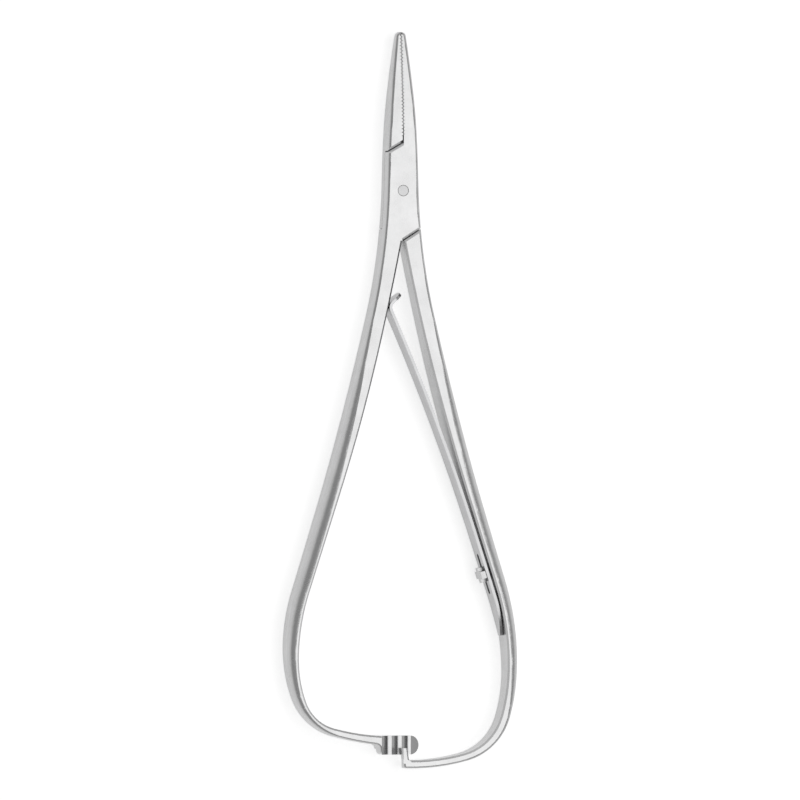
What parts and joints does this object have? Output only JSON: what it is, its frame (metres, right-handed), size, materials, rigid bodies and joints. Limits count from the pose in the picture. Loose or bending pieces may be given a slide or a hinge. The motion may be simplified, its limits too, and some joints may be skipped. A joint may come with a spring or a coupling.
{
  "type": "ligature pliers",
  "caption": "Slim steel hand pliers with toothed needle jaws, a lap joint, long bowed handles, a sprung leaf and a catch bar with a hook that locks them shut",
  "frame": {"origin": "middle of the footprint on the ground the pliers lie on, back face down, jaws closed and caught", "axes": "+Y along the pliers towards the jaw tips (longest), +X towards the hook handle, +Z out of the front face (shortest); the pivot pin runs along Z at y = 39.75 mm"},
  "size_m": [0.0451, 0.1399, 0.0066],
  "materials": {
    "forged_steel": "satin, fine lengthwise brushing",
    "spring_steel": "satin strip, brushed along its length",
    "pin_steel": "ground flush"
  },
  "bodies": {
    "ratchet_side": {"ratchet_half": "forged_steel", "pivot_rivet": "pin_steel"},
    "hook_side": {"hook_half": "forged_steel", "leaf_spring": "spring_steel", "spring_stud": "pin_steel"}
  },
  "joints": [
    {"name": "jaw_hinge", "type": "hinge", "parent": "ratchet_side", "child": "hook_side", "pos_m": [0, 0.03975, 0.0033], "axis": [0, 0, 1], "range_deg": [0, 20]}
  ]
}
